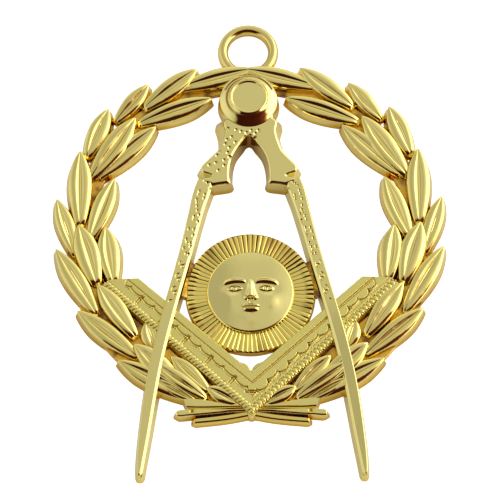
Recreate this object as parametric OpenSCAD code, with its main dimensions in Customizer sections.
// Collar jewel of a lodge's past master: a laurel wreath tied with a ribbon, and on it a
// builder's square, a sun and a pair of compasses, with a round ring to hang it by.
// It lies on its flat back. +Z is the worked face, +Y runs up to the ring, and the origin
// is under the middle of the outline. All lengths are millimetres, all angles degrees.

/* [Fits] */
// Clear gap between two neighbouring pieces
fit_gap = 0.06; // [0.04:0.01:0.1]
// How far the foot of a cast wall stands out past its top edge
draft = 0.4; // [0.1:0.05:0.5]

/* [Wreath] */
// Radius of the middle of the leaf band
wreath_r = 28.6; // [27.6:0.1:29.6]
// Height of the wreath's centre above the middle of the outline
wreath_y = 0.8; // [0.2:0.1:1.4]
// From the middle of the band to the tips of most outer leaves
band_half = 4.6; // [4:0.1:5]
// Width of the widest leaf
leaf_w = 4.3; // [3.8:0.1:4.8]
// Height of a leaf's crown over the back
leaf_crown = 2.5; // [2.1:0.1:3]
// Height of a leaf's side wall
leaf_edge = 1.4; // [1.1:0.1:1.7]
// Depth of the groove along a leaf's rib
rib_dip = 0.25; // [0.1:0.05:0.4]
// Thickness of the flat backing band that the leaves stand on
seat_z = 0.9; // [0.7:0.1:1.1]
// Width of the backing band
seat_w = 3.7; // [3.2:0.1:4.2]

/* [Ribbon] */
// Height of the middle tail, the highest of the three
tail_z = 1.9; // [1.6:0.1:2.2]
// Reach of the middle tail from the centre line
tail_reach = 12.4; // [11.5:0.1:13.3]
// Width of the flared end of the top tail
tail_w = 1.5; // [1.2:0.1:1.8]
// From the middle of the leaf band out to the middle of the tie
tie_out = 1.8; // [1.4:0.1:2.2]
// Half the length of the flat strip that joins the tails behind the square
tie_half = 2.9; // [2.5:0.1:3.3]
// Width of that strip
tie_h = 2.8; // [2.6:0.1:3]

/* [Square] */
// Height of the square's flat field
square_z = 2; // [1.8:0.1:2.2]
// From the middle of the leaf band out to the corner's outer point
tip_out = 2.5; // [2:0.1:3]
// Width of both arms where they meet, measured upright
corner_w = 7.5; // [7:0.1:8]
// Cut end of an arm, below the wreath's centre
end_low = 7; // [6.6:0.1:7.6]
// From the middle of the leaf band in to the inner corner of an arm's end
end_in = 10.2; // [9.6:0.1:10.6]
// Width of an arm's cut end
arm_end_w = 4.8; // [4.4:0.1:5.2]
// How far the cut end's outer corner lies below its inner one
end_slope = 0.2; // [0:0.1:0.4]
// Radius of the two round lobes at the inner corner
lobe_r = 1.9; // [1.6:0.1:2.2]
// Width of the rope border
rope_w = 1.25; // [1:0.05:1.5]
// Length of one strand of the rope along the edge
rope_pitch = 0.7; // [0.6:0.05:0.9]
// Height of the rope over the field
rope_rise = 0.24; // [0.15:0.01:0.3]
// Distance of the engraved line from the inner edge
line_in = 1.5; // [1.2:0.1:1.9]
// Width of the engraved line
line_w = 0.22; // [0.15:0.01:0.3]
// Depth of the engraved line
line_z = 0.15; // [0.1:0.01:0.25]

/* [Sun] */
// Radius of the ray band
sun_r = 10.6; // [10.2:0.1:10.8]
// From the square's inner corner up to the sun's centre
sun_up = 14.1; // [13.8:0.05:14.3]
// Width of the plain rim outside the rays
sun_rim = 0.25; // [0.15:0.01:0.35]
// Height of the sun's rim
rim_z = 1.25; // [1:0.05:1.4]
// Height of the rays over the band
ray_rise = 0.22; // [0.1:0.01:0.3]
// Number of rays
rays = 76; // [60:1:90]
// Radius of the face
face_r = 7.25; // [6.8:0.05:7.6]
// Height of the face's crown over the back
face_z = 2.7; // [2.3:0.1:3.1]

/* [Compasses] */
// Thickness of the head plate and the arms
plate_z = 2.8; // [2.6:0.1:3.2]
// From the middle of the leaf band in to the pivot
pivot_in = 3.4; // [3.2:0.1:3.8]
// Radius of the round head
head_r = 4.85; // [4.6:0.05:5]
// From the centre line to a point
point_x = 18.05; // [17.6:0.05:18.5]
// From the pivot down to the top edge of the points
arm_reach = 66.75; // [66:0.05:67.5]
// Width of an arm over most of its length
arm_w = 2.1; // [1.8:0.1:2.4]
// From the pivot down to the top of the arch between the arms
neck_h = 6.5; // [6.2:0.1:6.9]
// From the top of the arch to the foot of the head plate
arch_h = 9.35; // [9:0.05:9.7]
// From the centre line to the widest place above the arms
hip_x = 8.1; // [7.8:0.05:8.4]

/* [Pivot boss] */
// Height of the boss over the plate
boss_rise = 1.55; // [1.2:0.05:1.8]
// Radius of the sunk disc in its middle
boss_disc_r = 2.85; // [2.4:0.05:3.1]
// Depth of the sunk disc
disc_sunk = 0.3; // [0.2:0.01:0.4]
// Width of the shallow step round the disc
step_w = 0.35; // [0.2:0.05:0.5]
// Depth of that step
step_sunk = 0.14; // [0.08:0.01:0.18]

/* [Hanging ring] */
// Radius of the round bore
bore_r = 3.4; // [3.1:0.05:3.7]
// Width of the ring's metal, seen from the front
ring_w = 1.8; // [1.5:0.05:2.1]
// Height of the ring's metal
ring_z = 2.2; // [1.9:0.1:2.5]
// From the middle of the leaf band out to the ring's centre
ring_out = 6.55; // [6.3:0.05:6.8]
// Rounding of the ring's edges
ring_edge = 0.6; // [0.3:0.05:0.7]
// Height of the ring where it runs under the leaf tips
lap_z = 0.95; // [0.8:0.05:1.2]

/* [Hidden] */
gold = [0.86, 0.73, 0.3];
deep_gold = [0.8, 0.62, 0.2];
tall = 12;
below = 1;
fine = 96;

// Names of a leaf's columns, and one row for each leaf of a branch, from the top down.
// Angles run from the top of the wreath. OUT is the place across the band, as a share of
// band_half from its middle, positive outwards. WIDE and HIGH are shares of leaf_w and
// leaf_crown.
TIP_DEG = 0; TIP_OUT = 1; STALK_DEG = 2; STALK_OUT = 3; WIDE = 4; HIGH = 5;
leaves = [
    [-1.5, 0.64, 23.5, 0.44, 0.86, 1],
    [15.4, 0.93, 36.5, 0.35, 0.86, 0.98],
    [13.5, -0.4, 41.5, 0.01, 0.84, 1],
    [30.4, 1.07, 46, 0.64, 0.72, 0.86],
    [44.4, 1.17, 61, 0.6, 0.84, 0.9],
    [40.5, 0.2, 67, 0.08, 0.98, 1.04],
    [37, -0.54, 66, -0.12, 0.84, 0.94],
    [60.2, 0.91, 85, -0.05, 0.98, 1],
    [63.6, -0.73, 90, -0.41, 0.86, 0.92],
    [76.8, 0.98, 96, 0.06, 0.74, 0.86],
    [84.6, 0, 108, -0.45, 1, 1.04],
    [84.4, -0.96, 109, -1.03, 0.92, 0.92],
    [92.8, 0.79, 118, -0.02, 0.84, 0.9],
    [108, -0.46, 133, -0.65, 0.86, 1.04],
    [114, 0.55, 139, -0.16, 0.82, 0.9],
    [130.5, -1.3, 142, -0.75, 0.8, 0.8],
    [134.5, -0.4, 156, -0.1, 0.92, 1],
    [134.6, 0.42, 161, 0.26, 0.82, 0.9],
    [143.5, -0.32, 166, 0.12, 0.6, 1],
    [148, -0.88, 166, -0.16, 0.72, 0.86],
    [148, 0.14, 163, 0.3, 0.5, 0.84],
    [164.5, -0.3, 176, 0.1, 0.66, 0.84],
];

// Cross-sections of a leaf from stalk to tip: shares of its length, half width and crown
AT = 0; HALF = 1; RISE = 2;
leaf_sections = [[0, 0.3, 0.64], [0.2, 0.75, 0.82], [0.5, 0.99, 1], [0.8, 0.8, 0.98], [1, 0.14, 0.88]];
crest_at = 0.5;
leaf_foot = 0.75 * draft;
seat_in = wreath_r - 0.5 * seat_w;
seat_out = wreath_r + 0.5 * seat_w;

// Heights of what is set on the wreath's top and foot, from the same radius
band_top = wreath_y + wreath_r;
band_low = wreath_r - wreath_y;
pivot_y = band_top - pivot_in;
ring_y = band_top + ring_out;
tie_low = band_low + tie_out;
square_tip = band_low + tip_out;
arm_end = end_low - wreath_y;
arm_in = wreath_r - end_in;
sun_low = square_tip - corner_w - sun_up;
sun_foot = 0.375 * draft;
arch_top = pivot_y - neck_h;
point_low = arm_reach - pivot_y;

// Sections of a compass arm from the head to the point: shares of the way down and out,
// of the arm's width and of the plate's thickness
DOWN = 0; OUT = 1; ARM_WIDE = 2; THICK = 3;
arm_sections = [
    [0, 0, 1.25, 1], [0.03, 0.04, 1.42, 1], [0.22, 0.27, 1.03, 1], [0.58, 0.71, 1, 1],
    [0.7, 0.82, 0.97, 0.97], [0.84, 0.915, 0.84, 0.9], [0.97, 0.99, 0.52, 0.82], [1, 1, 0.3, 0.78],
];
arm_top = [0.9 * hip_x, arch_top - 0.866 * arch_h];
point = [point_x, -point_low];

ring_r = bore_r + ring_w;
pivot = [0, pivot_y];
sun_at = [0, -sun_low];
square_tip_at = [0, -square_tip];
square_in_at = [0, corner_w - square_tip];
arm_in_at = [arm_in, -arm_end];
arm_out_at = [arm_in + arm_end_w, -arm_end - end_slope];
rope_end_at = [arm_in + arm_end_w + rope_w * 0.95, -arm_end - rope_w];
rope_top = square_z + rope_rise;
sun_seat = rim_z + ray_rise;

function flip(p) = [-p[0], p[1]];
function mirrored(half) = [each half, for (i = [len(half) - 1:-1:0]) if (half[i][0] > 0.001) flip(half[i])];
function between(a, b, share) = a + (b - a) * share;
function across(a, b) = let (d = b - a) [d[1], -d[0]] / norm(d);

// A closed outline drawn anticlockwise, moved outwards by d with its corners kept
function moved_out(outline, d) = let (n = len(outline)) [
    for (i = [0:n - 1])
        let (
            before = across(outline[(i + n - 1) % n], outline[i]),
            after = across(outline[i], outline[(i + 1) % n])
        )
        outline[i] + (before + after) * d / (1 + before * after)
];

// A plate with sloping walls: the outline is its top edge and its foot stands out
module cast_plate(outline, height, foot = draft, from = 0) {
    n = len(outline);
    low = moved_out(outline, foot);
    polyhedron(
        [for (p = low) [p[0], p[1], from], for (p = outline) [p[0], p[1], height]],
        [
            [for (i = [0:n - 1]) i],
            [for (i = [n - 1:-1:0]) n + i],
            for (i = [0:n - 1]) [i, n + i, n + (i + 1) % n, (i + 1) % n],
        ]
    );
}

module both_sides() {
    children();
    mirror([1, 0, 0]) children();
}

// Wreath

function on_band(deg, out) =
    let (r = wreath_r + out * band_half) [sin(deg) * r, wreath_y + cos(deg) * r];

// Half of a leaf lying along +X, from its rib to one edge
module half_leaf(length, half_w, crown, side) {
    corners = [
        for (s = leaf_sections)
            let (x = s[AT] * length, w = s[HALF] * half_w, z = s[RISE] * crown)
            each [
                [x, 0, 0], [x + s[AT] * leaf_foot, side * (w + leaf_foot), 0],
                [x, side * w, leaf_edge], [x, side * w * crest_at, z], [x, 0, z - rib_dip],
            ]
    ];
    hull() polyhedron(corners, [[for (i = [0:len(corners) - 1]) i]]);
}

// A leaf's place: its stalk end at the origin and its tip along +X
module at_leaf(row) {
    stalk = on_band(row[STALK_DEG], row[STALK_OUT]);
    way = on_band(row[TIP_DEG], row[TIP_OUT]) - stalk;
    translate([stalk[0], stalk[1], 0]) rotate(atan2(way[1], way[0])) children();
}

function leaf_length(row) =
    norm(on_band(row[TIP_DEG], row[TIP_OUT]) - on_band(row[STALK_DEG], row[STALK_OUT]));

module leaf(row) {
    at_leaf(row) for (side = [-1, 1])
        half_leaf(leaf_length(row), row[WIDE] * leaf_w / 2, row[HIGH] * leaf_crown, side);
}

// Upright room round a leaf, from a height up
module leaf_space(row, low) {
    room = fit_gap + leaf_foot / 3;
    edge = [for (s = leaf_sections)
        [s[AT] * (leaf_length(row) + room), s[HALF] * row[WIDE] * leaf_w / 2 + room]];
    at_leaf(row) translate([0, 0, low]) linear_extrude(tall)
        polygon([each edge, for (i = [len(edge) - 1:-1:0]) [edge[i][0], -edge[i][1]]]);
}

module band_ring(inner, outer, height) {
    translate([0, wreath_y, 0]) difference() {
        cylinder(h = height, r = outer, $fn = fine);
        translate([0, 0, -below]) cylinder(h = height + 2 * below, r = inner, $fn = fine);
    }
}

// Sector about the top of the wreath
module top_sector(half_angle) {
    reach = 2 * (wreath_r + band_half);
    side = [sin(half_angle) * reach, cos(half_angle) * reach];
    translate([0, wreath_y, -below]) linear_extrude(tall) polygon([[0, 0], side, flip(side)]);
}

// Backing band: open at the top, where the leaves stand on each other, and narrower beside it
module backing() {
    difference() {
        band_ring(seat_in, seat_out, seat_z);
        top_sector(21);
    }
    difference() {
        band_ring(seat_in + 0.25 * seat_w, seat_out, seat_z);
        top_sector(9.5);
    }
}

module backing_space() {
    translate([0, 0, -below])
        band_ring(seat_in - fit_gap, seat_out + fit_gap, seat_z + fit_gap + below);
}

// Thin floor between the band and the square's two outer edges, or upright room for it
module web(room = 0) {
    reach = 2 * wreath_r;
    from = room > 0 ? below : 0;
    inner_edge = [
        square_tip_at, rope_end_at, [reach, rope_end_at[1]], [reach, reach],
        [-reach, reach], [-reach, rope_end_at[1]], flip(rope_end_at),
    ];
    difference() {
        translate([0, wreath_y, -from])
            cylinder(h = seat_z + room + from, r = seat_in + seat_w / 4, $fn = fine);
        translate([0, 0, -2 * below]) linear_extrude(tall) polygon(inner_edge);
        cast_plate(moved_out(square_outline, fit_gap + draft - room), tall, 0, -2 * below);
    }
}

module wreath() color(gold) {
    backing();
    web();
    difference() {
        both_sides() for (row = leaves) leaf(row);
        square_space();
        compasses_space();
        ribbon_space();
        ring_space();
    }
}

// Ribbon

// Tails of the right side, from the top one down, each in sections from the tie to its end:
// share of tail_reach outwards, middle (up from the tie) and half width as shares of tail_w,
// and height as a share of tail_z
FAR = 0; MID = 1; SPREAD = 2; TALL = 3;
tails = [
    [[0.2, 0.76, 0.27, 0.8], [0.42, 0.73, 0.36, 0.84], [0.62, 0.82, 0.46, 0.84], [0.88, 0.95, 0.54, 0.84]],
    [[0.1, 0.16, 0.16, 0.94], [0.55, -0.04, 0.27, 1], [0.86, -0.13, 0.38, 1], [0.99, -0.2, 0.15, 0.9]],
    [[0.05, -0.16, 0.3, 0.6], [0.32, -0.58, 0.35, 0.62], [0.54, -0.84, 0.35, 0.62], [0.76, -1.04, 0.33, 0.62]],
];
shoulder_z = 0.75;

// Corners of a tail's section: a foot, a side wall and a flat crest, or upright room for it
function tail_corners(s, out, room) =
    let (
        x = s[FAR] * tail_reach + out,
        mid = s[MID] * tail_w - tie_low,
        half = s[SPREAD] * tail_w,
        foot = half + draft / 2 + room,
        z = s[TALL] * tail_z
    )
    room > 0
    ? [for (side = [-1, 1], up = [-below, tall]) [x, mid + side * foot, up]]
    : [for (side = [-1, 1]) each [
        [x, mid + side * foot, 0], [x, mid + side * half, shoulder_z * z],
        [x, mid + side * half * 0.5, z],
    ]];

module tail_parts(room = 0) {
    both_sides() for (tail = tails, i = [0:len(tail) - 2]) {
        corners = [each tail_corners(tail[i], -room, room), each tail_corners(tail[i + 1], room, room)];
        hull() polyhedron(corners, [[for (k = [0:len(corners) - 1]) k]]);
    }
}

module tie(room = 0) {
    low = room > 0 ? -below : 0;
    translate([-tie_half - room, -tie_low - tie_h / 2 - room, low])
        cube([2 * (tie_half + room), tie_h + 2 * room, seat_z + room - low]);
}

module ribbon() color(deep_gold) difference() {
    union() {
        tail_parts();
        tie();
    }
    square_space(seat_z);
    backing_space();
    web(fit_gap);
}

module ribbon_space() {
    tail_parts(fit_gap);
}

// Square

square_half = [square_tip_at, rope_end_at, arm_out_at, arm_in_at, square_in_at];
square_outline = mirrored(square_half);

module corner_lobes() {
    both_sides() translate([lobe_r, square_in_at[1] - draft / 4, 0])
        cylinder(h = square_z * 0.8, r1 = lobe_r + draft / 2, r2 = lobe_r, $fn = 32);
}

// One strand of the rope border, slanted across it
module strand(slant) {
    r = rope_pitch * 0.46;
    reach = rope_w / 2 - r * 0.7;
    rotate(slant) hull() for (end = [-1, 1])
        translate([end * reach, 0, 0]) sphere(r = r, $fn = 6);
}

// Strands from the corner to the end of the right arm
module rope(slant) {
    way = rope_end_at - square_tip_at;
    inward = -across(square_tip_at, rope_end_at);
    count = floor(norm(way) / rope_pitch);
    for (i = [0:count - 1]) {
        at = square_tip_at + way * (i + 0.5) / count + inward * rope_w / 2;
        translate([at[0], at[1], rope_top - rope_pitch * 0.46])
            rotate(atan2(way[1], way[0])) strand(slant);
    }
}

// Engraved line along the inner edge, one straight cut for each arm
module engraved_line() {
    way = arm_in_at - square_in_at;
    inward = across(square_in_at, arm_in_at);
    start = square_in_at + [0, -line_in * norm(way) / way[0]];
    translate([start[0], start[1], square_z - line_z]) rotate(atan2(way[1], way[0]))
        translate([0, -line_w / 2, 0]) cube([norm(way) - line_in, line_w, tall]);
}

module builders_square() color(gold) difference() {
    union() {
        cast_plate(square_outline, square_z);
        corner_lobes();
        intersection() {
            union() {
                rope(50);
                mirror([1, 0, 0]) rope(50);
            }
            cast_plate(square_outline, tall, draft * tall / square_z);
        }
    }
    both_sides() engraved_line();
    backing_space();
    sun_space();
    tie(fit_gap);
}

// Room for the square. A piece that passes under it keeps its metal up to the height low.
module square_space(low = -below) {
    cast_plate(moved_out(square_outline, fit_gap + draft), tall, 0, low);
}

// Sun

module ray() {
    half = 180 / rays;
    inner = face_r - draft / 4;
    outer = sun_r - sun_rim;
    low = rim_z - sun_foot;
    corners = [
        for (end = [[inner, 1.2], [outer, 1]])
            let (r = end[0], w = r * tan(half) * 0.98)
            each [
                [r, -w, low], [r, w, low], [r, -w, rim_z], [r, w, rim_z],
                [r, 0, rim_z + ray_rise * end[1]],
            ]
    ];
    hull() polyhedron(corners, [[for (i = [0:len(corners) - 1]) i]]);
}

// The face: a shallow dome with brows, eyes, nose and lips on plain proportions
function dome_z(r) = sun_seat + (face_z - sun_seat) * sqrt(max(0, 1 - pow(r / face_r, 2.4)));

// A rounded knob on the dome: its place and radius are shares of face_r
module knob(x, y, size, sunk, sides = 8) {
    r = size * face_r;
    translate([x * face_r, y * face_r, dome_z(norm([x, y]) * face_r) - r * sunk])
        sphere(r = r, $fn = sides);
}

module face() {
    eye_x = 0.37;
    brow = [[0.166, 0.207], [0.303, 0.255], [0.455, 0.241], [0.593, 0.179]];
    rotate_extrude($fn = 64) polygon([
        [0, 0], [face_r, 0], [face_r, sun_seat],
        for (share = [0.98, 0.93, 0.84, 0.7, 0.5, 0.25, 0]) [share * face_r, dome_z(share * face_r)],
    ]);
    hull() {
        knob(0, 0.207, 0.048, 0.5);
        knob(0, -0.18, 0.076, 0.3);
    }
    for (side = [-1, 1]) {
        knob(side * 0.076, -0.193, 0.047, 0.3);
        hull() for (step = [-1, 1]) knob(side * eye_x + step * 0.076, 0.048, 0.058, 0.55);
        for (k = [0:2]) hull() for (at = [brow[k], brow[k + 1]]) knob(side * at[0], at[1], 0.03, 0.2, 6);
    }
    for (lip = [0, 1]) hull() for (step = [-1, 1])
        knob(step * (0.103 - 0.028 * lip), -0.4 - lip * 0.062, 0.041, 0.4);
}

module sun() color(deep_gold) translate([sun_at[0], sun_at[1], 0]) {
    cylinder(h = rim_z, r1 = sun_r + sun_foot, r2 = sun_r, $fn = fine);
    for (i = [0:rays - 1]) rotate(i * 360 / rays) ray();
    face();
}

module sun_space() {
    translate([sun_at[0], sun_at[1], -below])
        cylinder(h = sun_seat + fit_gap + below, r = sun_r + sun_foot + fit_gap, $fn = fine);
}

// Compasses

// Right half of the head plate, from the arch down and back up round the outside: shares
// of hip_x outwards and of arch_h down from the top of the arch
plate_rows = [
    [0, 0], [0.148, 0.118], [0.278, 0.289], [0.364, 0.449], [0.411, 0.642], [0.422, 0.813],
    [0.395, 0.941], [0.753, 1], [0.93, 0.93], [0.97, 0.862], [0.772, 0.807], [0.969, 0.717],
    [1, 0.652], [0.975, 0.599], [0.889, 0.513], [0.63, 0.257], [0.537, 0.053], [0.506, -0.107],
    [0.537, -0.257], [0.444, -0.353], [0, -0.481],
];
plate_half = [for (row = plate_rows) [row[0] * hip_x, arch_top - row[1] * arch_h]];

// Lower step beside the neck of the plate: shares of head_r outwards and down from the pivot
shoulder_rows = [
    [0.7, 1.62], [1.03, 1.6], [1.04, 1.36], [1.1, 1.11], [1.15, 0.9], [1.11, 0.68], [1, 0.57], [0.7, 0.55],
];
shoulder = [for (row = shoulder_rows) [row[0] * head_r, pivot_y - row[1] * head_r]];

// Four corners of a section: two at the foot and two at the top. With room to spare all
// round, the section stands upright and runs through the whole height.
function arm_corners(s, room) =
    let (
        at = [between(arm_top[0], point[0], s[OUT]), between(arm_top[1], point[1], s[DOWN])],
        foot = s[ARM_WIDE] * arm_w / 2 + room + draft,
        edge = room > 0 ? foot : foot - draft,
        bottom = room > 0 ? -below : 0,
        top = room > 0 ? tall : s[THICK] * plate_z,
        foot_y = at[1] - room - (s[DOWN] >= 1 ? draft : 0)
    )
    [
        [at[0] - foot, foot_y, bottom], [at[0] + foot, foot_y, bottom],
        [at[0] - edge, at[1], top], [at[0] + edge, at[1], top],
    ];

module arms(room = 0) {
    both_sides() for (i = [0:len(arm_sections) - 2]) {
        corners = [each arm_corners(arm_sections[i], room), each arm_corners(arm_sections[i + 1], room)];
        hull() polyhedron(corners, [[for (k = [0:7]) k]]);
    }
}

module compasses() color(gold) difference() {
    union() {
        cast_plate(mirrored(plate_half), plate_z, 1.75 * draft);
        both_sides() cast_plate(shoulder, 0.55 * plate_z, draft / 2);
        translate([pivot[0], pivot[1], 0])
            cylinder(h = plate_z, r1 = head_r + draft, r2 = head_r, $fn = fine);
        arms();
    }
    square_pocket();
    backing_space();
    web(fit_gap);
    sun_space();
}

// Room that the compasses take up through the whole height
module compasses_space() {
    translate([pivot[0], pivot[1], -below])
        cylinder(h = tall, r = head_r + draft + fit_gap, $fn = fine);
    arms(fit_gap);
}

// The square passes under the arms: its whole outline is sunk into their backs
module square_pocket() {
    cast_plate(moved_out(square_outline, fit_gap + draft), rope_top + fit_gap, 0, -below);
}

// Pivot boss, turned in one piece: a round dome with a shallow step and a sunk disc
module boss_profile() {
    crest = between(boss_disc_r, head_r, 0.42);
    dome = head_r - crest;
    step_r = boss_disc_r + step_w;
    difference() {
        union() {
            square([head_r, boss_rise - dome]);
            square([crest, boss_rise - step_sunk / 3]);
            translate([crest, boss_rise - dome]) circle(r = dome, $fn = 48);
        }
        translate([-below, boss_rise - disc_sunk]) square([boss_disc_r + below, tall]);
        translate([-below, boss_rise - step_sunk]) square([step_r + below, tall]);
        translate([-2 * head_r, -head_r]) square([2 * head_r, 3 * head_r]);
        translate([-head_r, -head_r]) square([3 * head_r, head_r]);
    }
}

module pivot_boss() color(gold)
    translate([pivot[0], pivot[1], plate_z + fit_gap]) rotate_extrude($fn = fine) boss_profile();

// Hanging ring: a round bore with an upright wall, and rounded edges. Its foot runs under
// the tips of the two top leaves.
module hanging_ring() color(gold) difference() {
    translate([0, ring_y, 0]) rotate_extrude($fn = fine) {
        for (x = [bore_r + ring_edge, ring_r - ring_edge], z = [ring_edge, ring_z - ring_edge])
            translate([x, z]) circle(r = ring_edge, $fn = 48);
        translate([bore_r, ring_edge]) square([ring_w, ring_z - 2 * ring_edge]);
        translate([bore_r + ring_edge, 0]) square([ring_w - 2 * ring_edge, ring_z]);
    }
    both_sides() leaf_space(leaves[0], lap_z);
    translate([pivot[0], pivot[1], -below]) cylinder(h = tall, r = head_r + draft + fit_gap, $fn = fine);
}

module ring_space() {
    translate([0, ring_y, -below]) {
        cylinder(h = lap_z + fit_gap + below, r = ring_r + fit_gap, $fn = fine);
        cylinder(h = tall, r = bore_r + fit_gap, $fn = fine);
    }
}

wreath();
ribbon();
builders_square();
sun();
compasses();
pivot_boss();
hanging_ring();
